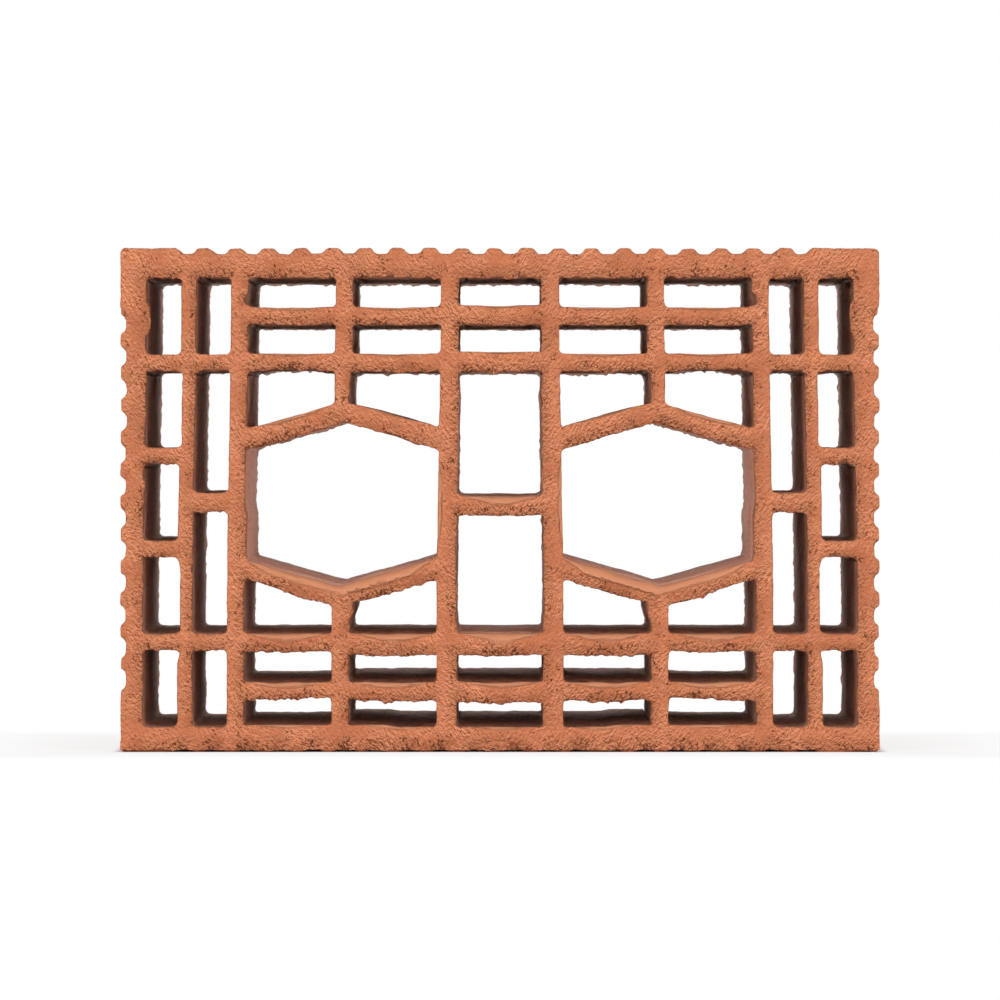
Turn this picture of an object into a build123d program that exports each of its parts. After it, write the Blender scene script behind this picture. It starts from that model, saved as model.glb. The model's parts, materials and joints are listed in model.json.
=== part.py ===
from build123d import *
import math
import os

os.makedirs("parts", exist_ok=True)

# A fired hollow clay block: one extrusion with through cells, cut to length by a wire.
# It stands on a long ribbed face. X runs along its length, Z up, and the cells run along Y.
# Every size is in millimetres.

# Outside, measured over the ribs
block_length = 290.0
block_height = 192.5
block_depth = 190.0
corner_radius = 2.2

# Keying ribs on the four faces that the die shapes
rib_pitch = 12.34
rib_height = 2.15
rib_crest_width = 5.0
rib_foot_width = 7.8
rib_crest_radius = 1.6
face_rib_count = 19
end_rib_count = 11
face_rib_shift = -2.1

# Shells, from the rib crests to the first cells
end_shell = 10.1
face_shell = 10.4

# How far the lattice of cells lies below the block's middle
lattice_drop = 0.9

# Slim cells: two upright rows of them inside each end
slim_cell_width = 13.4
slim_web = 5.5
slim_cell_count = 5
slim_cross_web = 6.05
slim_middle_web = 7.2

# Webs between the upright rows, from the end inwards
end_web = 6.4
bay_middle_web = 6.5
core_web = 7.6

# The core row in the middle of the block
core_cell_width = 29.8
core_middle_web = 7.0

# Two level layers of flat cells under the top face, and again above the bottom face
outer_layer = 10.7
outer_layer_web = 6.5
inner_layer = 11.9
inner_layer_web = 6.6

# The six-sided hall in each bay, and the wedge cells above and below it
wedge_cell_height = 22.1
roof_rise = 10.3
roof_web = 7.7

# Roundings inside the cells
cell_radius = 1.2
slim_cell_radius = 1.8

# Places across the block, from its middle outwards
lattice_half_length = block_length / 2 - end_shell
outer_slim_x = lattice_half_length - slim_cell_width / 2
inner_slim_x = outer_slim_x - slim_cell_width - slim_web
bay_far_x = inner_slim_x - slim_cell_width / 2 - end_web
bay_near_x = core_cell_width / 2 + core_web
bay_width = bay_far_x - bay_near_x
bay_x = (bay_far_x + bay_near_x) / 2
bay_cell_width = (bay_width - bay_middle_web) / 2
bay_cell_x = (bay_cell_width + bay_middle_web) / 2

# Places up the block, from the middle of the lattice
lattice_half_height = block_height / 2 - face_shell
outer_layer_z = lattice_half_height - outer_layer / 2
inner_layer_top = lattice_half_height - outer_layer - outer_layer_web
inner_layer_z = inner_layer_top - inner_layer / 2
hall_ceiling = inner_layer_top - inner_layer - inner_layer_web

# The hall's sloping roof: its upright thickness, where it springs and where it peaks
roof_slope = math.atan2(roof_rise, bay_width / 2)
roof_thickness = roof_web / math.cos(roof_slope)
hall_side = hall_ceiling - wedge_cell_height - roof_thickness
hall_peak = hall_side + roof_rise

# Heights of the slim cells: the outer row is divided evenly, the inner row follows its end cells
slim_cell_height = (2 * lattice_half_height - (slim_cell_count - 1) * slim_cross_web) / slim_cell_count
slim_pitch = slim_cell_height + slim_cross_web
slim_end_z = lattice_half_height - slim_cell_height / 2
tall_slim_top = lattice_half_height - slim_cell_height - slim_cross_web
tall_slim_height = tall_slim_top - slim_middle_web / 2
tall_slim_z = (tall_slim_top + slim_middle_web / 2) / 2

# The tall cells of the core row, either side of its middle web
core_cell_height = hall_ceiling - core_middle_web / 2
core_cell_z = (hall_ceiling + core_middle_web / 2) / 2

# The stretches of each face that carry ribs, from their own middle
face_rib_reach = (face_rib_count + 1) * rib_pitch / 2
end_rib_reach = (end_rib_count + 1) * rib_pitch / 2


def is_crest_corner(corner):
    """Whether a corner of the outline lies on a ribbed face line, at the edge of a groove."""
    on_face = abs(corner.Y) > (block_height - rib_height) / 2
    on_end = abs(corner.X) > (block_length - rib_height) / 2
    among_face_ribs = abs(corner.X - face_rib_shift) < face_rib_reach
    among_end_ribs = abs(corner.Y + lattice_drop) < end_rib_reach
    return (on_face and among_face_ribs) or (on_end and among_end_ribs)


def flat_layers(x_positions, width):
    """The two flat layers of cells, above and below the middle, at each place along X."""
    for z, height in ((outer_layer_z, outer_layer), (inner_layer_z, inner_layer)):
        with Locations(*[(x, side * z) for x in x_positions for side in (-1, 1)]):
            RectangleRounded(width, height, cell_radius)


# One wedge cell: the space between the hall's sloping roof and the level web over it
wedge_foot = hall_side + roof_thickness
wedge_head = wedge_foot + roof_rise * (1 - bay_middle_web / bay_width)
with BuildSketch() as wedge_cell:
    with BuildLine():
        Polyline(
            (bay_width / 2, wedge_foot),
            (bay_width / 2, hall_ceiling),
            (bay_middle_web / 2, hall_ceiling),
            (bay_middle_web / 2, wedge_head),
            close=True,
        )
    make_face()
    fillet(vertices(), cell_radius)
    mirror(about=Plane.YZ)
    mirror(about=Plane.XZ)

# The six-sided hall in the middle of a bay
with BuildSketch() as hall:
    with BuildLine():
        Polyline(
            (bay_width / 2, -hall_side),
            (bay_width / 2, hall_side),
            (0, hall_peak),
            (-bay_width / 2, hall_side),
            (-bay_width / 2, -hall_side),
            (0, -hall_peak),
            close=True,
        )
    make_face()
    fillet(vertices(), cell_radius)

# A bay: the hall, four wedge cells and the flat layers
with BuildSketch() as bay:
    add(hall.sketch)
    add(wedge_cell.sketch)
    flat_layers((-bay_cell_x, bay_cell_x), bay_cell_width)

# The core row: two tall cells and the flat layers
with BuildSketch() as core_row:
    with Locations((0, core_cell_z), (0, -core_cell_z)):
        RectangleRounded(core_cell_width, core_cell_height, cell_radius)
    flat_layers((0,), core_cell_width)

# The slim rows at both ends
with BuildSketch() as slim_rows:
    with GridLocations(2 * outer_slim_x, slim_pitch, 2, slim_cell_count):
        RectangleRounded(slim_cell_width, slim_cell_height, slim_cell_radius)
    with GridLocations(2 * inner_slim_x, 2 * slim_end_z, 2, 2):
        RectangleRounded(slim_cell_width, slim_cell_height, slim_cell_radius)
    with GridLocations(2 * inner_slim_x, 2 * tall_slim_z, 2, 2):
        RectangleRounded(slim_cell_width, tall_slim_height, slim_cell_radius)

# The groove between two ribs, drawn on both sides of the face line that it is cut into
groove_mouth = (rib_pitch - rib_crest_width) / 2
groove_floor = (rib_pitch - rib_foot_width) / 2
with BuildSketch() as groove:
    with BuildLine():
        Polyline(
            (groove_mouth, 0),
            (groove_floor, rib_height),
            (-groove_floor, rib_height),
            (-groove_mouth, 0),
            (-groove_floor, -rib_height),
            (groove_floor, -rib_height),
            close=True,
        )
    make_face()

# The block: the ribbed outline less its cells, drawn upright and extruded both ways
section_plane = Plane(origin=(0, 0, block_height / 2), x_dir=(1, 0, 0), z_dir=(0, -1, 0))

with BuildPart() as clay_brick:
    with BuildSketch(section_plane):
        Rectangle(block_length, block_height)
        fillet(vertices(), corner_radius)
        with Locations((face_rib_shift, 0)):
            with GridLocations(rib_pitch, block_height, face_rib_count + 1, 2):
                add(groove.sketch, mode=Mode.SUBTRACT)
        with Locations(Location((0, -lattice_drop), 90)):
            with GridLocations(rib_pitch, block_length, end_rib_count + 1, 2):
                add(groove.sketch, mode=Mode.SUBTRACT)
        fillet(vertices().filter_by(is_crest_corner), rib_crest_radius)
        with Locations((0, -lattice_drop)):
            add(core_row.sketch, mode=Mode.SUBTRACT)
            add(slim_rows.sketch, mode=Mode.SUBTRACT)
        with Locations((-bay_x, -lattice_drop), (bay_x, -lattice_drop)):
            add(bay.sketch, mode=Mode.SUBTRACT)
    extrude(amount=block_depth / 2, both=True)

clay_brick.part.label = "clay_brick"
export_step(clay_brick.part, "parts/clay_brick.step")
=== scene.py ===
"""A fired hollow clay block, wire-cut on two faces, standing on a pale floor."""

import itertools
import json
import math

import bmesh
import bpy
import numpy as np
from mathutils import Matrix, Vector, kdtree

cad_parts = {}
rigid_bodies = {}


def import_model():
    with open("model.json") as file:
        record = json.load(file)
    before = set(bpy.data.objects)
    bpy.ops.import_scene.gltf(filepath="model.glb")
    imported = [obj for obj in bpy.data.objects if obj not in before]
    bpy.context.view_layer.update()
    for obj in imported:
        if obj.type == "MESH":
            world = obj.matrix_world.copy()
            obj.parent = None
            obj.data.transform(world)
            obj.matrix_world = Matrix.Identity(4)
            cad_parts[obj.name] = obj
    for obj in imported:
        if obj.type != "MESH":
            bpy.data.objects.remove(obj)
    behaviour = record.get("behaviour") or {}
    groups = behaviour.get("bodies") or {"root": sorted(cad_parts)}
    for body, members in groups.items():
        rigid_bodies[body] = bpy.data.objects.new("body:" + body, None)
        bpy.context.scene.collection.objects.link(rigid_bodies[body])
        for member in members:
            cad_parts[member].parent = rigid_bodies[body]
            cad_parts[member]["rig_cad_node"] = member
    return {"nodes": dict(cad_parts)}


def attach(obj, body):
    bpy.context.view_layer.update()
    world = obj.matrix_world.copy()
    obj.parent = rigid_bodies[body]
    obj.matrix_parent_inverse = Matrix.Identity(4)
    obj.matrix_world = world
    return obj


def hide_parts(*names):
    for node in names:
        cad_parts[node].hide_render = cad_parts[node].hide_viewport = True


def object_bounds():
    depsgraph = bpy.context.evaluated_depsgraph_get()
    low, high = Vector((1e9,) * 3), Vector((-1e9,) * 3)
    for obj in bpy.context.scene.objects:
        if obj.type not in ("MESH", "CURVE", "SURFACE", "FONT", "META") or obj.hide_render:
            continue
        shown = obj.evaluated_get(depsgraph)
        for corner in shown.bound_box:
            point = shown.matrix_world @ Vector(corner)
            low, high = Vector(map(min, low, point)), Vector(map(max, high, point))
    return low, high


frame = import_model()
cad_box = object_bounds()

bl_info = {
    "name": "Hollow Clay Block",
    "version": (1, 0, 0),
    "blender": (4, 5, 0),
    "location": "View3D > Sidebar > Clay Block",
    "description": "Builds a fired hollow clay block with wire-cut faces, and the floor, lamps and camera",
    "category": "Object",
}

NODE = "clay_brick"
MM = 0.001
WHITE = (1, 1, 1, 1)

# Points closer than this lie on one face, and points closer than the second are one point
ON_FACE = 0.01 * MM
SAME_POINT = 0.001 * MM

# How far along an edge from the cell's corner a lip or a sagging web takes to come to its full size
CORNER_FADE = 13 * MM

# The lips on the edges that the wire entered: their growth with the reach of the edge and with how
# squarely the wire met it, their most and least size, their depth for their size, their share of it on
# the back face, and where the curve of their slope is pulled to
LIP_GAIN = 1.65
LIP_SQUARENESS = 2.3
LIP_MOST = 4.8 * MM
LIP_LEAST = 0.25 * MM
LIP_DEPTH = 1.3
LIP_AT_BACK = 0.45
LIP_PULL_IN, LIP_PULL_BACK = 0.24, 0.36

# Edges turned less than this stay smooth, in degrees
SMOOTH_ANGLE = 50

# The slant of the marks that the cutting wire left, in degrees, and how they waver
WIRE_SLANT = 54
WAVER_SIZE = 16 * MM
WAVER_WIDTH = 7 * MM


class ClayShape(bpy.types.PropertyGroup):
    """How the wet clay was cut, torn and settled."""

    grain: bpy.props.FloatProperty(
        name="Grain", description="Edge of the cells that the block is resurfaced with",
        default=0.7 * MM, unit="LENGTH",
    )
    skin: bpy.props.FloatProperty(
        name="Cut skin", description="Depth behind each cut face that keeps fine detail",
        default=6 * MM, unit="LENGTH",
    )
    core: bpy.props.FloatProperty(
        name="Squeezed core", description="Depth that the rest is squeezed to while it is resurfaced",
        default=5 * MM, unit="LENGTH",
    )
    lip: bpy.props.FloatProperty(
        name="Lip", description="Roundness of the smallest edge that the wire entered",
        default=0.9 * MM, unit="LENGTH",
    )
    lip_growth: bpy.props.FloatProperty(
        name="Lip growth", description="How much rounder the lip is for each metre of the cell's own size",
        default=0.055,
    )
    tear: bpy.props.FloatProperty(
        name="Tear", description="How far torn clay stands out at the edges that the wire left",
        default=0.85 * MM, unit="LENGTH",
    )
    sag: bpy.props.FloatProperty(
        name="Sag", description="How far the wire dragged the level webs down in mid-span",
        default=0.45 * MM, unit="LENGTH",
    )
    waviness: bpy.props.FloatProperty(
        name="Waviness", description="Unevenness of the walls inside the cells",
        default=0.25 * MM, unit="LENGTH",
    )
    triangles: bpy.props.IntProperty(
        name="Triangles", description="Most triangles the finished block may have",
        default=190000,
    )


class ClayFinish(bpy.types.PropertyGroup):
    """Colours of the fired clay, with painted highlights and shade."""

    face: bpy.props.FloatVectorProperty(
        name="Cut face", description="Colour of the wire-cut face",
        subtype="COLOR", default=(0.61, 0.200, 0.092),
    )
    face_pale: bpy.props.FloatVectorProperty(
        name="Pale clay", description="Paler patches of the cut face",
        subtype="COLOR", default=(0.71, 0.262, 0.130),
    )
    # Torn, redder clay, also used as painted shade below the crumbs and in their hollows
    deep_clay_and_shade: bpy.props.FloatVectorProperty(
        name="Deep clay", description="Torn, redder clay",
        subtype="COLOR", default=(0.40, 0.105, 0.042),
    )
    # Painted highlight on the tops of the crumbs, where light from above would fall
    crumb_highlight: bpy.props.FloatVectorProperty(
        name="Crests", description="Bright tops of the crumbs",
        subtype="COLOR", default=(0.84, 0.355, 0.185),
    )
    lip: bpy.props.FloatVectorProperty(
        name="Lip", description="Smooth clay on the edges that the wire entered",
        subtype="COLOR", default=(0.65, 0.272, 0.145),
    )
    wall: bpy.props.FloatVectorProperty(
        name="Inner wall", description="Duller clay inside the cells",
        subtype="COLOR", default=(0.80, 0.46, 0.33),
    )
    # The pale creases are a painted highlight in a colour of their own, not this one
    wall_pale: bpy.props.FloatVectorProperty(
        name="Pale inner wall", description="Greyer patches and creases inside the cells",
        subtype="COLOR", default=(0.93, 0.60, 0.45),
    )
    # Painted shade on the inner walls near both ends of the cells
    wall_painted_shade: bpy.props.FloatVectorProperty(
        name="Far inner wall", description="Darker clay towards the far ends of the cells",
        subtype="COLOR", default=(0.27, 0.125, 0.09),
    )
    # Painted highlight along the corners of the upper cells, where light from below and behind would catch
    # them
    crease_highlight: bpy.props.FloatVectorProperty(
        name="Creases", description="Pale lines along the corners of the cells",
        subtype="COLOR", default=(1.0, 0.78, 0.66),
    )
    pit: bpy.props.FloatVectorProperty(
        name="Pits", description="Shadowed clay in pits and cracks",
        subtype="COLOR", default=(0.15, 0.044, 0.021),
    )


class StageLook(bpy.types.PropertyGroup):
    """The floor, the lamps and the camera."""

    floor: bpy.props.FloatVectorProperty(
        name="Floor", description="Colour of the floor",
        subtype="COLOR", default=(0.88, 0.88, 0.88),
    )
    ambient: bpy.props.FloatProperty(
        name="Ambient", description="Strength of the sky's light",
        default=0.34,
    )
    back_glow: bpy.props.FloatProperty(
        name="Back glow", description="How much stronger the sky's light is from behind",
        default=1.8,
    )
    side_lamps: bpy.props.FloatProperty(
        name="Side lamps", description="Strength of the two lamps beside the camera",
        default=0.56,
    )
    front_lamp: bpy.props.FloatProperty(
        name="Front lamp",
        description="Strength of the low lamp by the camera, which reaches into the cells",
        default=0.6,
    )
    card_glow: bpy.props.FloatProperty(
        name="Card glow", description="Strength of the low card in front",
        default=13.0,
    )
    panel_glow: bpy.props.FloatProperty(
        name="Panel glow", description="Strength of the panel behind",
        default=2.0,
    )
    table_glow: bpy.props.FloatProperty(
        name="Table glow", description="Strength of the lit table top behind the block",
        default=2.2,
    )
    camera_away: bpy.props.FloatProperty(
        name="Camera away", description="From the front face to the camera",
        default=3.87, unit="LENGTH",
    )
    camera_up: bpy.props.FloatProperty(
        name="Camera up", description="Height of the camera over the floor",
        default=0.119, unit="LENGTH",
    )
    frame_width: bpy.props.FloatProperty(
        name="Frame width", description="Width that the picture takes in at the front face",
        default=0.38158, unit="LENGTH",
    )
    aim_up: bpy.props.FloatProperty(
        name="Aim up", description="Height of the picture's middle at the front face",
        default=0.0962, unit="LENGTH",
    )


# Mesh helpers


def choose_only(obj):
    """Select one object and nothing else."""
    bpy.ops.object.select_all(action="DESELECT")
    obj.select_set(True)
    bpy.context.view_layer.objects.active = obj


def apply_modifier(obj, kind, **settings):
    """Add a modifier with its settings and apply it."""
    choose_only(obj)
    bpy.ops.object.modifier_add(type=kind)
    modifier = obj.modifiers[-1]
    for name, value in settings.items():
        setattr(modifier, name, value)
    bpy.ops.object.modifier_apply(modifier=modifier.name)


def places_of(mesh):
    """The mesh's vertices as an array of rows."""
    flat = np.empty(len(mesh.vertices) * 3)
    mesh.vertices.foreach_get("co", flat)
    return flat.reshape(-1, 3)


def move_to(mesh, places):
    """Put the mesh's vertices at the rows of an array."""
    mesh.vertices.foreach_set("co", places.ravel())
    mesh.update()


def smooth_step(low, high, value):
    """0 below low, 1 above high and a smooth rise between them."""
    share = np.clip((value - low) / (high - low), 0, 1)
    return share * share * (3 - 2 * share)


def fade(distance, over):
    """1 at no distance, falling away over about the given distance."""
    return np.exp(-distance / over)


def scatter(cells, seed):
    """An even, repeatable random number from -1 to 1 for each whole-numbered cell."""
    mixed = (cells * np.array((73856093, 19349663, 83492791))).sum(axis=1) + seed * 40503
    mixed = (mixed ^ (mixed >> 13)) * 1274126177 & 0xFFFFFFFF
    mixed = (mixed ^ (mixed >> 15)) * 668265263 & 0xFFFFFFFF
    return ((mixed >> 8) & 0xFFFF) / 32767.5 - 1


def lumps(places, sizes, seed):
    """Smooth noise from -1 to 1, with lumps of one size, or of a size along each axis."""
    points = places / np.array(sizes)
    cells = np.floor(points).astype(np.int64)
    part = points - cells
    blend = part * part * (3 - 2 * part)
    total = np.zeros(len(places))
    for corner in itertools.product((0, 1), repeat=3):
        weight = np.prod(np.where(corner, blend, 1 - blend), axis=1)
        total += weight * scatter(cells + corner, seed)
    return total


# The outline of the cut face, and where each point of the surface lies from it


def outline_loops(mesh, face_y):
    """Each closed outline on the cut face, as corner places and the wall direction of each side."""
    shape = bmesh.new()
    shape.from_mesh(mesh)
    shape.verts.ensure_lookup_table()
    sides = {}
    for edge in shape.edges:
        on_face = all(abs(vert.co.y - face_y) < ON_FACE for vert in edge.verts)
        walls = [face.normal for face in edge.link_faces if abs(face.normal.y) < 0.5]
        if on_face and len(edge.link_faces) == 2 and len(walls) == 1:
            for vert in edge.verts:
                sides.setdefault(vert.index, []).append((edge, walls[0].copy()))
    loops = []
    seen = set()
    for start in sides:
        if start in seen:
            continue
        corners, directions, vert = [], [], start
        while vert not in seen:
            seen.add(vert)
            corners.append(tuple(shape.verts[vert].co.xz))
            onward = [(edge, wall) for edge, wall in sides[vert] if other_end(edge, vert) not in seen]
            if not onward:
                directions.append(tuple(closing_wall(sides[vert], start).xz))
                break
            edge, wall = onward[0]
            directions.append(tuple(wall.xz))
            vert = other_end(edge, vert)
        loops.append((np.array(corners), np.array(directions)))
    shape.free()
    return loops


def other_end(edge, index):
    """The number of the edge's other vertex."""
    first, second = edge.verts
    return second.index if first.index == index else first.index


def closing_wall(ends, start):
    """The wall beside the edge that closes a loop back to its start."""
    return next((wall for edge, wall in ends if start in (vert.index for vert in edge.verts)), ends[0][1])


class Outline:
    """Closely spaced spots along the outlines, each with its wall's direction and its lip's reach."""

    spacing = 0.4 * MM
    corner_turn = 0.6  # the least turn of the wall, in radians, that counts as a corner
    corner_spots = 3  # how many spots the turn is taken over
    widest_plain_cell = 30 * MM  # narrower cells have smaller lips than their size alone would give

    def __init__(self, mesh, face_y, shape):
        places, directions, runs, reaches, celled = [], [], [], [], []
        loops = outline_loops(mesh, face_y)
        largest = max(np.ptp(corners[:, 0]) for corners, _ in loops)
        for corners, walls in loops:
            spots, facing = self.walk(corners, walls)
            width, height = np.ptp(corners[:, 0]), np.ptp(corners[:, 1])
            is_cell = width < largest
            size = math.sqrt(width * height) * min(1, width / self.widest_plain_cell) if is_cell else 0
            places.append(spots)
            directions.append(facing)
            celled.append(np.full(len(spots), float(is_cell)))
            runs.append(self.run_from_corner(facing) if is_cell else np.zeros(len(spots)))
            reaches.append(np.full(len(spots), shape.lip + shape.lip_growth * size))
        self.places = np.concatenate(places)
        self.directions = np.concatenate(directions)
        self.runs = np.concatenate(runs)
        self.reaches = np.concatenate(reaches)
        self.celled = np.concatenate(celled)
        self.tree = kdtree.KDTree(len(self.places))
        for number, (x, z) in enumerate(self.places):
            self.tree.insert((x, 0, z), number)
        self.tree.balance()

    def walk(self, corners, walls):
        """Evenly spaced spots along a closed outline."""
        sides = np.roll(corners, -1, axis=0) - corners
        ends = np.cumsum(np.linalg.norm(sides, axis=1))
        count = round(ends[-1] / self.spacing)
        along = (np.arange(count) + 0.5) * ends[-1] / count
        numbers = np.searchsorted(ends, along)
        lengths = np.diff(ends, prepend=0)
        share = (along - ends[numbers] + lengths[numbers]) / lengths[numbers]
        return corners[numbers] + sides[numbers] * share[:, None], walls[numbers]

    def run_from_corner(self, facing):
        """How far each spot is, along its outline, from the nearest corner of the cell."""
        turned = np.einsum("ij,ij->i", facing, np.roll(facing, self.corner_spots, axis=0))
        turned = turned < math.cos(self.corner_turn)
        if not turned.any():
            return np.zeros(len(facing))
        numbers = np.arange(len(facing))
        steps = np.abs(numbers[:, None] - numbers[turned][None, :])
        return np.minimum(steps, len(facing) - steps).min(axis=1) * self.spacing

    def nearest(self, places):
        """For each place: the number of the nearest spot, and how deep in the clay the place is from it."""
        numbers = np.array([self.tree.find((x, 0, z))[1] for x, _, z in places])
        offset = places[:, (0, 2)] - self.places[numbers]
        depth = -np.einsum("ij,ij->i", offset, self.directions[numbers])
        return numbers, depth


class Surface:
    """Where the points of the block's surface lie from its edges and cut faces."""

    # The wire came in from outside and above: how much the wall's direction away from the block's middle
    # and its direction up count, and how soon an edge that the wire left is torn
    outward_share, upward_share = 0.5, 0.87
    tearing = 1.15

    def __init__(self, places, outline, half_depth):
        self.x, self.y, self.z = places.T
        self.behind = half_depth - np.abs(self.y)
        self.end = np.where(self.y < 0, -1.0, 1.0)
        numbers, self.inside = outline.nearest(places)
        self.from_edge = np.maximum(self.inside, 0)
        self.facing = outline.directions[numbers]
        self.run = outline.runs[numbers]
        self.reach = outline.reaches[numbers]
        self.celled = outline.celled[numbers]
        outward = self.facing[:, 0] * np.sign(self.x)
        met = self.upward_share * self.facing[:, 1] + self.outward_share * outward
        self.entered = np.clip(met, 0, 1)
        self.left = np.clip(-self.tearing * met, 0, 1)
        self.level = np.abs(self.facing[:, 1])


# Shaping the clay


def squeeze_depth(piece, shape, depth):
    """Flatten the block along its depth, so that resurfacing spends its faces on the cut faces."""
    choose_only(piece)
    bpy.ops.object.mode_set(mode="EDIT")
    bpy.ops.mesh.select_all(action="SELECT")
    squeezed = (2 * shape.skin + shape.core) / depth
    bpy.ops.transform.resize(value=(1, squeezed, 1), center_override=(0, 0, 0))
    bpy.ops.object.mode_set(mode="OBJECT")


def stretch_core(places, shape, depth):
    """Give the block its depth back: the skins keep their thickness and the core takes the rest."""
    y = places[:, 1]
    half_core = shape.core / 2
    grown = depth / 2 - shape.skin
    in_core = np.abs(y) < half_core
    places[:, 1] = np.where(in_core, y * grown / half_core, y + np.sign(y) * (grown - half_core))


def push_out(places, at, distance):
    """Move places the way that their wall faces, or into the clay where the distance is negative."""
    places[:, 0] += at.facing[:, 0] * distance
    places[:, 2] += at.facing[:, 1] * distance


def lip_size(at):
    """How far up a cut face each lip reaches: most in the halls, hardly at all on the bottom shell."""
    faces_up = at.facing[:, 1] > 0.5
    over_floor = smooth_step(6 * MM, 14 * MM, at.z)
    share = np.where(faces_up, 0.3 + 0.7 * over_floor, 1.0)
    upper_half = smooth_step(105 * MM, 125 * MM, at.z) * faces_up
    spread = 0.15 + 0.85 * smooth_step(0, CORNER_FADE, at.run)
    size = np.minimum(LIP_GAIN * at.reach * at.entered**LIP_SQUARENESS, LIP_MOST * at.entered)
    size = size * share * spread * (1 - 0.55 * upper_half)
    return np.maximum(size * np.where(at.end < 0, 1, LIP_AT_BACK), LIP_LEAST)


def round_lips(places, at):
    """Slope off the edges that the wire entered, most of all in the large cells."""
    size = lip_size(at)
    back = LIP_DEPTH * size
    along = at.inside - at.behind
    way = np.clip((size - along) / (size + back), 0, 1)
    touched = (along < size) & (along > -back)
    start, middle = (1 - way) ** 2, 2 * way * (1 - way)
    inward = size * (start + LIP_PULL_IN * middle)
    deep = back * (LIP_PULL_BACK * middle + way**2)
    push_out(places, at, np.where(touched, at.inside - inward, 0))
    places[:, 1] -= at.end * np.where(touched, deep - at.behind, 0)


def sag_webs(places, at, shape, height):
    """Drag the level webs down in mid-span behind the wire, least in the shells."""
    span = smooth_step(0, CORNER_FADE, at.run)
    share_up = at.z / height
    in_shell = smooth_step(0.40, 0.45, np.abs(share_up - 0.495))
    near = np.exp(-((at.behind / (18 * MM)) ** 2)) * (at.end < 0)
    low = 0.65 + 0.35 * smooth_step(0.6, 0.2, share_up)
    places[:, 2] -= shape.sag * span * near * low * smooth_step(0.4, 0.8, at.level) * (1 - in_shell)


def tear_edges(places, at, shape):
    """Ragged crumbs and bites along the edges that the wire left."""
    flat = places * (1, 0.5, 1)
    crumbs = 0.9 * lumps(flat, 1.2 * MM, seed=11) + 0.7 * lumps(flat, 2.8 * MM, seed=12)
    bites = np.minimum(lumps(flat, 2.2 * MM, seed=13) + 0.3, 0)
    near = fade(at.from_edge, 1.6 * MM) * fade(at.behind, 2.2 * MM)
    push_out(places, at, shape.tear * near * at.left * (crumbs + 0.25 + 1.2 * bites))
    dig = shape.tear * near * at.left * np.clip(0.9 * lumps(flat, 1.8 * MM, seed=14) + 0.3, 0, 1)
    places[:, 1] -= at.end * dig


# Chips knocked out of the front edges, the same in both halves, each with its place along the block, its
# place up it, its radius, its depth, and whether only the upright walls are chipped
CHIPS = (
    (96.2, 172.3, 3.4, 1.8, 1),
    (144.6, 167.4, 2.4, 1.4, 0),
    (134.9, 165.5, 7.5, -1.5, 1),
    (134.9, 156.0, 3.6, 0.35, 1),
    (130.3, 110.3, 1.6, 1.2, 0),
    (13.0, 162.4, 1.8, -0.9, 0),
    (104.0, 52.0, 2.2, 0.9, 0),
    (61.5, 133.0, 1.6, 0.8, 0),
)


def chip_edges(places, at):
    """Small chips, and burrs where the depth is negative, along the front edges."""
    for aside, up, radius, depth, sideways in CHIPS:
        far = np.hypot(np.abs(at.x) - aside * MM, at.z - up * MM) / (radius * MM)
        bite = smooth_step(1.0, 0.35, far + 0.25 * lumps(places, 1.4 * MM, seed=15))
        near = smooth_step((5 + 6 * sideways) * MM, (1 + 2 * sideways) * MM, at.behind) * (at.end < 0)
        bite *= near * depth * MM
        bite *= np.abs(at.facing[:, 0]) ** (4 * sideways)
        push_out(places, at, -bite)
        places[:, 1] += np.maximum(bite, 0) * 0.6


def pit_faces(places, at):
    """Shallow pits and a gentle unevenness over the cut faces."""
    on_face = fade(at.behind, 0.8 * MM)
    torn = 0.25 + 0.75 * at.left * fade(at.from_edge, 3 * MM)
    pits = smooth_step(0.35, 0.75, lumps(places, 1.7 * MM, seed=21)) * torn * 0.5 * MM
    swell = (lumps(places, 9 * MM, seed=22) + 1) * 0.08 * MM
    places[:, 1] -= at.end * on_face * (pits + swell)


def roughen_walls(places, at, shape):
    """Long drawn unevenness along the walls, as the die leaves it, and a rough far edge."""
    swell = lumps(places, (7 * MM, 45 * MM, 7 * MM), seed=31)
    scores = lumps(places, (1.8 * MM, 60 * MM, 1.8 * MM), seed=32)
    push = shape.waviness * (swell + 0.35 * scores) * smooth_step(0, 4 * MM, at.behind)
    edge = 0.25 * MM * lumps(places, 2.6 * MM, seed=33) * fade(at.behind, 3 * MM)
    push_out(places, at, push + edge)


def trail_skirt(places, at):
    """Clay smeared over the lowest edge of each cut face, hanging over the mouths of the grooves."""
    height = (0.8 + 0.3 * lumps(places, 3.5 * MM, seed=41) + 0.2 * lumps(places, 1.5 * MM, seed=42)) * MM
    low = smooth_step(2.9 * MM, 2.3 * MM, places[:, 2])
    share = low * smooth_step(3.4 * MM, 2.6 * MM, at.behind)
    places[:, 2] += share * (height - places[:, 2])


def wear_ribs(places, at, height):
    """Ribs and pads that stand a little unevenly."""
    from_end = np.minimum(np.abs(at.z), np.abs(height - at.z)) < 4 * MM
    outer = (np.abs(at.x) > 141 * MM) | from_end
    low_rib = (0.5 + 0.5 * lumps(places, (8 * MM, 70 * MM, 8 * MM), seed=51)) * 0.55 * MM
    nick = smooth_step(0.45, 0.8, lumps(places, (3 * MM, 9 * MM, 3 * MM), seed=52)) * 0.5 * MM
    push_out(places, at, -np.where(outer & (at.z > 4 * MM), low_rib + nick, 0))


def keep_inside(places, low, high):
    """Nothing stands out of the block's own box."""
    np.clip(places, low, high, out=places)


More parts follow.
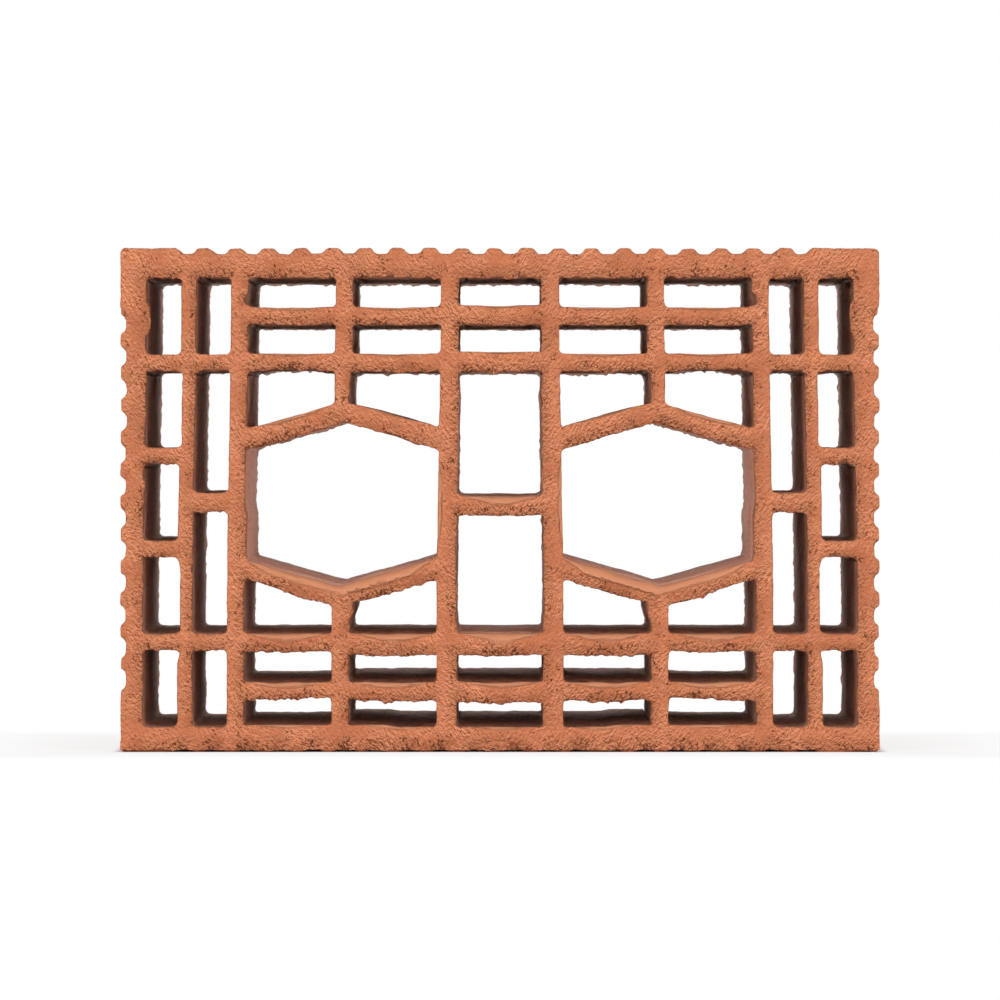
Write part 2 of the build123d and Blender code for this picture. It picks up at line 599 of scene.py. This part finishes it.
def store(mesh, name, values):
    """Keep one number for each vertex, for the material to read."""
    layer = mesh.attributes.new(name, "FLOAT", "POINT")
    layer.data.foreach_set("value", values.astype(np.float32))


def window(values, low, high, soft):
    """1 between low and high, in millimetres, falling to 0 over a soft margin."""
    inner = smooth_step((low - soft) * MM, (low + soft) * MM, values)
    return inner * smooth_step((high + soft) * MM, (high - soft) * MM, values)


# How the level and sloping webs settled in the kiln, the same in both halves. Each row holds a stretch
# along the block and one up it, which walls move (1 up-facing, -1 down-facing, 0 all), and the move up.
SETTLED = (
    (20, 96, 163, 171, 0, -0.9),
    (-15, 15, 163, 169, -1, -1.1),
    (-15, 15, 146, 153, 1, 0.9),
    (24, 60, 118, 132, 0, 0.7),
    (-15, 15, 88, 102, 0, -1.2),
    (22, 60, 58, 78, 0, -1.3),
    (60, 97, 56, 80, 0, -1.9),
    (-15, 60, 35, 42, -1, -1.4),
    (-15, 60, 17, 25, -1, -1.0),
    (18, 82, 18, 23, -1, 0.7),
    (40, 97, 7, 12, 1, 0.8),
    (70, 90, 143, 148, -1, 1.0),
    (78, 97, 60, 70, -1, 1.0),
)

# How far the upright walls came to stand off their places: a stretch along the block, one up it, and the
# move away from the block's middle
SHIFTED = (
    (11, 18, 140, 190, 0.9),
    (11, 18, 50, 140, 0.4),
    (54, 58, 51, 70, -1.6),
    (54, 58, 122, 145, 1.0),
    (119, 124, 36, 72, -1.1),
    (119, 124, 112, 148, -0.7),
    (93, 98, 70, 92, -0.8),
)


def settle(places, at):
    """Move the webs to where they came to rest, and splay the lattice towards its foot."""
    aside = np.abs(at.x)
    up = at.facing[:, 1]
    for left, right, low, high, side, move in SETTLED:
        here = window(aside, left, right, 3) * window(at.z, low, high, 2)
        turned = np.ones(len(up)) if side == 0 else smooth_step(0.2, 0.7, side * up)
        places[:, 2] += move * MM * here * turned
    for left, right, low, high, move in SHIFTED:
        here = window(aside, left, right, 1.5) * window(at.z, low, high, 3)
        places[:, 0] += np.sign(at.x) * move * MM * here * smooth_step(0.2, 0.7, np.abs(at.facing[:, 0]))
    raised = window(aside, -60, 62, 14) * window(at.z, -20, 37, 3) * smooth_step(0.3, 0.8, up)
    raised *= smooth_step(60 * MM, 90 * MM, at.y)
    places[:, 2] += 1.2 * MM * raised * smooth_step(2 * MM, 6 * MM, at.z)
    splay = 1.7 * MM * smooth_step(185 * MM, 45 * MM, at.z)
    inner = smooth_step(0, 14 * MM, aside) * smooth_step(145 * MM, 136 * MM, aside)
    places[:, 0] += np.sign(at.x) * splay * inner


def copy_solid():
    """A copy of the CAD solid as one closed mesh of its own."""
    choose_only(frame["nodes"][NODE])
    bpy.ops.object.duplicate()
    piece = bpy.context.object
    piece.name = piece.data.name = "block"
    del piece["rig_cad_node"]
    bpy.ops.object.parent_clear(type="CLEAR_KEEP_TRANSFORM")
    piece.hide_render = False
    bpy.ops.object.mode_set(mode="EDIT")
    bpy.ops.mesh.select_all(action="SELECT")
    bpy.ops.mesh.remove_doubles(threshold=SAME_POINT)
    bpy.ops.object.mode_set(mode="OBJECT")
    return piece


def mark_surface(mesh, at):
    """Keep on the mesh where the clay is torn, on a lip, inside a cell, on an outer side, or on a crease that
    gets a painted highlight.
    """
    store(mesh, "torn", at.left * fade(at.from_edge, 3.2 * MM) * fade(at.behind, 4 * MM))
    size = lip_size(at)
    on_lip = smooth_step(1.05, 0.75, at.inside / size) * smooth_step(2.4, 1.2, at.behind / size)
    store(mesh, "lip", on_lip * smooth_step(0.4 * MM, 1.2 * MM, size))
    in_cell = smooth_step(1.5 * MM, 0.5 * MM, at.inside) * at.celled
    soft = np.where(at.end < 0, 1.0, 0.2)
    past_lip = (at.behind - 1.2 * size * at.entered) / soft
    store(mesh, "wall", smooth_step(1.0 * MM, 3.5 * MM, past_lip) * in_cell)
    store(mesh, "skin", smooth_step(0.8 * MM, 3 * MM, at.behind) * (1 - at.celled))
    in_slim_row = smooth_step(97 * MM, 101 * MM, np.abs(at.x))
    small = np.maximum(in_slim_row, smooth_step(125 * MM, 140 * MM, at.z))
    upper = smooth_step(60 * MM, 110 * MM, at.z) * smooth_step(-0.1, -0.35, at.facing[:, 1])
    # The creases that face down in the upper, smaller cells, which get a painted highlight
    crease_highlight = smooth_step(1.5 * MM, 0.8 * MM, at.run) * smooth_step(4 * MM, 8 * MM, at.behind) * at.celled
    store(mesh, "crease_highlight", crease_highlight * small * upper)


def shape_block(shape):
    """The finished block: its CAD solid resurfaced, cut, torn and settled."""
    piece = copy_solid()
    low, high = (np.array(corner) for corner in cad_box)
    depth, height = high[1] - low[1], high[2] - low[2]
    outline = Outline(piece.data, low[1], shape)
    squeeze_depth(piece, shape, depth)
    apply_modifier(piece, "REMESH", mode="VOXEL", voxel_size=shape.grain, use_smooth_shade=True)
    places = places_of(piece.data)
    stretch_core(places, shape, depth)

    at = Surface(places, outline, depth / 2)
    roughen_walls(places, at, shape)
    round_lips(places, at)
    pit_faces(places, at)
    tear_edges(places, at, shape)
    chip_edges(places, at)
    sag_webs(places, at, shape, height)
    wear_ribs(places, at, height)
    trail_skirt(places, at)
    keep_inside(places, low, high)
    move_to(piece.data, places)

    triangles = sum(len(face.vertices) - 2 for face in piece.data.polygons)
    ratio = min(1, shape.triangles / triangles)
    apply_modifier(piece, "DECIMATE", ratio=ratio, use_collapse_triangulate=True)

    places = places_of(piece.data)
    at = Surface(places, outline, depth / 2)
    mark_surface(piece.data, at)
    settle(places, at)
    keep_inside(places, low, high)
    move_to(piece.data, places)
    choose_only(piece)
    bpy.ops.object.shade_smooth_by_angle(angle=math.radians(SMOOTH_ANGLE))
    return piece


# Materials


class Flow:
    """A shader socket that takes part in arithmetic: each operation adds its Math node."""

    def __init__(self, tree, socket):
        self.tree = tree
        self.socket = socket

    def math(self, operation, *values, clamp=False):
        """A Math node on this value and others."""
        inputs = dict(enumerate((self, *values)))
        return add_node(self.tree, "ShaderNodeMath", {"operation": operation, "use_clamp": clamp}, inputs)

    def __add__(self, other):
        return self.math("ADD", other)

    def __radd__(self, other):
        return self.math("ADD", other)

    def __sub__(self, other):
        return self.math("SUBTRACT", other)

    def __rsub__(self, other):
        return add_node(self.tree, "ShaderNodeMath", {"operation": "SUBTRACT"}, {0: other, 1: self})

    def __mul__(self, other):
        return self.math("MULTIPLY", other)

    def __rmul__(self, other):
        return self.math("MULTIPLY", other)

    def clamp(self):
        """This value kept from 0 to 1."""
        return self.math("ADD", 0.0, clamp=True)

    def ramp(self, low, high):
        """0 below low, 1 above high, with a smooth rise."""
        settings = {"interpolation_type": "SMOOTHSTEP"}
        inputs = {"Value": self, "From Min": low, "From Max": high}
        return add_node(self.tree, "ShaderNodeMapRange", settings, inputs)


def add_node(tree, kind, settings=None, inputs=None, output=0):
    """One node with its settings, then its inputs as values or links; returns one of its outputs."""
    node = tree.nodes.new(kind)
    for name, value in (settings or {}).items():
        setattr(node, name, value)
    for name, value in (inputs or {}).items():
        if isinstance(value, Flow):
            tree.links.new(value.socket, node.inputs[name])
        else:
            node.inputs[name].default_value = value
    return Flow(tree, node.outputs[output]) if node.outputs else None


def mix_colours(tree, share, first, second):
    """A blend of two colours, each a tuple or another blend."""
    inputs = {0: share}
    for number, colour in ((6, first), (7, second)):
        inputs[number] = colour if isinstance(colour, Flow) else (*colour, 1.0)
    return add_node(tree, "ShaderNodeMix", {"data_type": "RGBA"}, inputs, output=2)


def new_material(name):
    """An empty material with its output, and its node tree."""
    material = bpy.data.materials.new(name)
    material.use_nodes = True
    material.node_tree.nodes.clear()
    return material, material.node_tree


def finish_material(tree, shader):
    """Link a shader to the material's output."""
    add_node(tree, "ShaderNodeOutputMaterial", None, {"Surface": shader})


def attribute(tree, name):
    """One of the numbers kept on the mesh."""
    return add_node(tree, "ShaderNodeAttribute", {"attribute_name": name}, output=2)


def noise(tree, places, size, detail=2.0, roughness=0.5):
    """Noise with lumps of about the given size in metres."""
    inputs = {"Vector": places, "Scale": 1 / size, "Detail": detail, "Roughness": roughness}
    return add_node(tree, "ShaderNodeTexNoise", None, inputs)


def scaled(tree, places, factors):
    """Places stretched by a factor on each axis."""
    return add_node(tree, "ShaderNodeVectorMath", {"operation": "MULTIPLY"}, {0: places, 1: factors})


def parts_of(tree, places):
    """The three parts of a place, each as a number."""
    return [add_node(tree, "ShaderNodeSeparateXYZ", None, {0: places}, output=axis) for axis in range(3)]


def slanted(tree, places):
    """Distances across and along the wire's marks, mirrored about the block's middle, and its depth."""
    x, y, z = parts_of(tree, places)
    sideways = x.math("ABSOLUTE")
    slant = math.radians(WIRE_SLANT)
    across = sideways * math.sin(slant) - z * math.cos(slant)
    along = sideways * math.cos(slant) + z * math.sin(slant)
    waver = noise(tree, places, WAVER_SIZE, detail=1.0) - 0.5
    return across + waver * WAVER_WIDTH, along, y


def drawn_noise(tree, axes, size, stretch, detail, roughness, moved):
    """Noise drawn out along the slant, read at a place moved by a little across and along it."""
    across, along, deep = axes
    drawn = {0: across + moved[0], 1: (along + moved[1]) * stretch, 2: deep}
    vector = add_node(tree, "ShaderNodeCombineXYZ", None, drawn)
    return noise(tree, vector, size, detail=detail, roughness=roughness)


def carved(tree, axes, size, stretch, detail, roughness, upward):
    """A drawn-out noise as a height, and how much lower it lies a little further up: the cut face paints that
    as a highlight where it is positive and as shade where it is negative.
    """
    here = drawn_noise(tree, axes, size, stretch, detail, roughness, (0.0, 0.0))
    return here, here - drawn_noise(tree, axes, size, stretch, detail, roughness, upward)


def clay_material(finish):
    """Fired clay: smooth lips, torn and pitted cut faces, and duller walls inside the cells."""
    material, tree = new_material("fired_clay")
    places = add_node(tree, "ShaderNodeTexCoord", output=3)
    marks = ("torn", "lip", "wall", "crease_highlight", "skin")
    torn, lip, wall, crease_highlight, skin = (attribute(tree, name) for name in marks)
    cut = 1 - (wall + skin).clamp()
    rough = cut * (1 - lip * 0.9)

    # Patterns: broad blotches, crowds of pits, fine grit, then crumbs, scratches and gaps on the slant
    blotches = noise(tree, places, size=11 * MM, detail=4.0, roughness=0.6)
    crowd = noise(tree, places, size=6 * MM, detail=3.0) - 0.5
    fine = noise(tree, places, size=0.7 * MM, detail=3.0, roughness=0.6)
    axes = slanted(tree, places)
    depth = axes[2]
    crumbs, crumb_light = carved(
        tree, axes, size=1.0 * MM, stretch=0.65, detail=4.0, roughness=0.72, upward=(-0.2 * MM, 0.28 * MM)
    )
    hatch, hatch_light = carved(
        tree, axes, size=0.9 * MM, stretch=0.2, detail=2.0, roughness=0.6, upward=(-0.25 * MM, 0.0)
    )
    holes = drawn_noise(tree, axes, size=0.8 * MM, stretch=0.7, detail=2.0, roughness=0.6, moved=(0.0, 0.4))
    gaps = 1 - (holes - crowd * 0.42 - torn * 0.12 + lip * 0.2).ramp(0.295, 0.33)
    spots = add_node(
        tree, "ShaderNodeTexVoronoi", {"feature": "F1"},
        {"Vector": places, "Scale": 1 / (3.6 * MM), "Randomness": 1.0},
    )
    pits = (crowd * 0.5 + torn * 0.08 - lip * 0.2 + 0.05 - spots + (fine - 0.5) * 0.3).ramp(0.0, 0.04)

    # The cut faces: pale patches, and crumbs with painted shade below them and a painted highlight on top, as
    # if lit from above
    patches = blotches.ramp(0.36, 0.62) * 1.0 + 0.35
    lit = (crumb_light * (5.4 + torn * 11.0) + hatch_light * (3.2 - torn * 2.0)) * rough * patches
    drawn = noise(tree, scaled(tree, places, (1, 0.04, 1)), size=1.8 * MM, detail=3.0, roughness=0.6)
    paler = blotches.ramp(0.35, 0.68) * (1 - skin * 0.65) + drawn.ramp(0.3, 0.72) * skin * 0.3
    face = mix_colours(tree, paler, finish.face, finish.face_pale)
    # Painted light and shade on the crumbs: shade below in the deep clay colour, highlight on top in the
    # highlight colour
    face = mix_colours(tree, (lit * -1.0).clamp(), face, finish.deep_clay_and_shade)
    face = mix_colours(tree, lit.clamp(), face, finish.crumb_highlight)
    # Painted shade in the hollows between the crumbs, and redder torn clay
    shade = ((1 - crumbs.ramp(0.36, 0.50)) * 0.25 * rough + torn * 0.08).clamp()
    face = mix_colours(tree, shade, face, finish.deep_clay_and_shade)
    face = mix_colours(tree, lip, face, finish.lip)

    # The walls inside the cells: mottled, with painted shade near both ends, and a painted highlight along the
    # creases
    streaks = noise(tree, scaled(tree, places, (1, 0.25, 1)), size=1.3 * MM, detail=4.0, roughness=0.7)
    mottle = (blotches * 0.3 + streaks * 0.7).ramp(0.40, 0.60)
    inner = mix_colours(tree, mottle, finish.wall, finish.wall_pale)
    # Painted shade: the walls darken within about 20 mm behind the front face, and from the middle towards the
    # back
    ends = depth.ramp(-0.01, 0.09) * 0.6 + (1 - depth.ramp(-0.091, -0.075)) * 0.8
    inner = mix_colours(tree, ends, inner, finish.wall_painted_shade)
    # Painted highlight along the creases
    inner = mix_colours(tree, crease_highlight, inner, finish.crease_highlight)

    # Pits, gaps and specks darken both
    specks = (0.41 - streaks).ramp(0.0, 0.05) * wall
    colour = mix_colours(tree, wall, face, inner)
    dark = (pits * 0.8 + gaps * 0.9) * (0.5 + 0.5 * cut) + specks * 0.4
    colour = mix_colours(tree, dark.clamp(), colour, finish.pit)

    # The relief. Along the highlighted creases it rises steeply with depth, which turns the corner towards the
    # camera.
    relief = crumbs * (0.55 + torn * 0.7) * rough + fine * 0.12 + hatch * 0.25 * rough
    relief += streaks * wall * 0.4 + crease_highlight * depth * 110
    height = relief - pits * 0.12 - gaps * 0.08 * cut
    bump = add_node(
        tree, "ShaderNodeBump", None, {"Height": height, "Strength": 1.0, "Distance": 2.6 * MM},
    )
    shader = add_node(
        tree, "ShaderNodeBsdfPrincipled", None,
        {"Base Color": colour, "Roughness": 0.92, "Specular IOR Level": 0.1, "Normal": bump},
    )
    finish_material(tree, shader)
    return material


def floor_material(look):
    """A pale floor that keeps shadows and turns white to the camera away from the block."""
    material, tree = new_material("pale_floor")
    places = add_node(tree, "ShaderNodeTexCoord", output=3)
    x, y, _ = parts_of(tree, places)
    aside = x.math("ABSOLUTE") - cad_box[1].x
    ahead = y.math("ABSOLUTE") - cad_box[1].y
    away = aside.math("MAXIMUM", ahead)
    seen = add_node(tree, "ShaderNodeLightPath", output=0)
    plain = add_node(tree, "ShaderNodeBsdfDiffuse", None, {"Color": (*look.floor, 1.0)})
    white = add_node(tree, "ShaderNodeEmission", None, {"Color": WHITE, "Strength": 1.0})
    share = seen * (away.ramp(-1 * MM, 4 * MM) * 0.8 + away.ramp(5 * MM, 100 * MM) * 0.2)
    finish_material(tree, add_node(tree, "ShaderNodeMixShader", None, {0: share, 1: plain, 2: white}))
    return material


# Stage


def build_world(look):
    """White to the camera, and a plain soft light on the object that is stronger from behind."""
    world = bpy.data.worlds.new("studio")
    bpy.context.scene.world = world
    world.use_nodes = True
    tree = world.node_tree
    tree.nodes.clear()
    seen = add_node(tree, "ShaderNodeLightPath", output=0)
    towards = add_node(tree, "ShaderNodeTexCoord")
    back = add_node(tree, "ShaderNodeSeparateXYZ", None, {0: towards}, output=1)
    strength = back.ramp(0.8, 0.985) * look.back_glow + look.ambient
    light = add_node(tree, "ShaderNodeBackground", None, {"Color": WHITE, "Strength": strength})
    white = add_node(tree, "ShaderNodeBackground", None, {"Color": WHITE, "Strength": 1.0})
    mixed = add_node(tree, "ShaderNodeMixShader", None, {0: seen, 1: light, 2: white})
    add_node(tree, "ShaderNodeOutputWorld", None, {"Surface": mixed})


# The two side lamps and the front lamp: softness, azimuth to either side, and elevation, in degrees
SIDE_LAMP = (12, 28, 45)
FRONT_LAMP = (25, 0, 6)

# The softboxes: width, length, place, and tilt in degrees
FRONT_CARD = (1.6, 0.1, (0, -1.1, 0.06), -90)
BACK_PANEL = (1.6, 0.34, (0, 0.8, 0.28), 90)
LIGHT_TABLE = (1.6, 2.2, (0, 1.35, 0.004), 0)

FLOOR_WIDTH = 60
FARTHEST_SEEN = 100


def add_panel(name, glow, width, length, place, tilt):
    """A softbox the camera doesn't see. A tilt of 0 faces up, of 90 the camera's side, of -90 away from it."""
    bpy.ops.object.light_add(type="AREA", location=place)
    panel = bpy.context.object
    panel.name = name
    panel.data.shape = "RECTANGLE"
    panel.data.size = width
    panel.data.size_y = length
    panel.data.energy = glow * math.pi * width * length
    panel.rotation_euler = (math.radians(180 + tilt), 0, 0)
    panel.visible_camera = False


def add_sun(name, strength, softness, azimuth, elevation):
    """A soft, even lamp. An azimuth of 0 is the camera's side, and the elevation is over the floor."""
    bpy.ops.object.light_add(type="SUN", location=(0, 0, 1))
    lamp = bpy.context.object
    lamp.name = name
    lamp.data.energy = strength
    lamp.data.angle = math.radians(softness)
    turn, rise = math.radians(azimuth), math.radians(elevation)
    towards = Vector((math.sin(turn) * math.cos(rise), -math.cos(turn) * math.cos(rise), math.sin(rise)))
    lamp.rotation_mode = "QUATERNION"
    lamp.rotation_quaternion = towards.to_track_quat("Z", "Y")


def build_stage(look):
    """The floor, the lamps, the world and the camera."""
    bpy.ops.mesh.primitive_plane_add(size=FLOOR_WIDTH, location=(0, 0, 0))
    floor = bpy.context.object
    floor.name = "floor"
    floor.data.materials.append(floor_material(look))
    build_world(look)
    softness, aside, elevation = SIDE_LAMP
    add_sun("left_lamp", look.side_lamps, softness, -aside, elevation)
    add_sun("right_lamp", look.side_lamps, softness, aside, elevation)
    add_sun("front_lamp", look.front_lamp, *FRONT_LAMP)
    add_panel("front_card", look.card_glow, *FRONT_CARD)
    add_panel("back_panel", look.panel_glow, *BACK_PANEL)
    add_panel("light_table", look.table_glow, *LIGHT_TABLE)

    front = cad_box[0].y
    bpy.ops.object.camera_add(location=(0, front - look.camera_away, look.camera_up))
    camera = bpy.context.object
    camera.name = "camera"
    aim = Vector((0, front, look.aim_up)) - camera.location
    camera.rotation_mode = "QUATERNION"
    camera.rotation_quaternion = aim.to_track_quat("-Z", "Y")
    camera.data.lens = camera.data.sensor_width * aim.length / look.frame_width
    camera.data.clip_end = FARTHEST_SEEN
    bpy.context.scene.camera = camera
    bpy.context.scene.view_settings.view_transform = "Standard"


# The add-on


class CLAYBLOCK_OT_block(bpy.types.Operator):
    """Model the fired block from its CAD solid"""

    bl_idname = "clayblock.block"
    bl_label = "Fired Block"

    def execute(self, context):
        piece = shape_block(context.scene.clay_shape)
        piece.data.materials.clear()
        piece.data.materials.append(clay_material(context.scene.clay_finish))
        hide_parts(NODE)
        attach(piece, "root")
        return {"FINISHED"}


class CLAYBLOCK_OT_stage(bpy.types.Operator):
    """Lay the floor and set the lamps and the camera"""

    bl_idname = "clayblock.stage"
    bl_label = "Stage"

    def execute(self, context):
        build_stage(context.scene.stage_look)
        return {"FINISHED"}


class CLAYBLOCK_PT_panel(bpy.types.Panel):
    """The clay block's tools"""

    bl_idname = "CLAYBLOCK_PT_panel"
    bl_label = "Clay Block"
    bl_space_type = "VIEW_3D"
    bl_region_type = "UI"
    bl_category = "Clay Block"

    def draw(self, context):
        for operator in (CLAYBLOCK_OT_block, CLAYBLOCK_OT_stage):
            self.layout.operator(operator.bl_idname)
        for group in (context.scene.clay_shape, context.scene.clay_finish, context.scene.stage_look):
            box = self.layout.box()
            for name in group.bl_rna.properties.keys():
                if name not in ("rna_type", "name"):
                    box.prop(group, name)


GROUPS = {"clay_shape": ClayShape, "clay_finish": ClayFinish, "stage_look": StageLook}
CLASSES = (*GROUPS.values(), CLAYBLOCK_OT_block, CLAYBLOCK_OT_stage, CLAYBLOCK_PT_panel)


def register():
    for each in CLASSES:
        bpy.utils.register_class(each)
    for name, group in GROUPS.items():
        setattr(bpy.types.Scene, name, bpy.props.PointerProperty(type=group))


def unregister():
    for name in GROUPS:
        delattr(bpy.types.Scene, name)
    for each in reversed(CLASSES):
        bpy.utils.unregister_class(each)


def main():
    """Build everything."""
    register()
    bpy.ops.clayblock.block()
    bpy.ops.clayblock.stage()


if __name__ == "__main__":
    main()
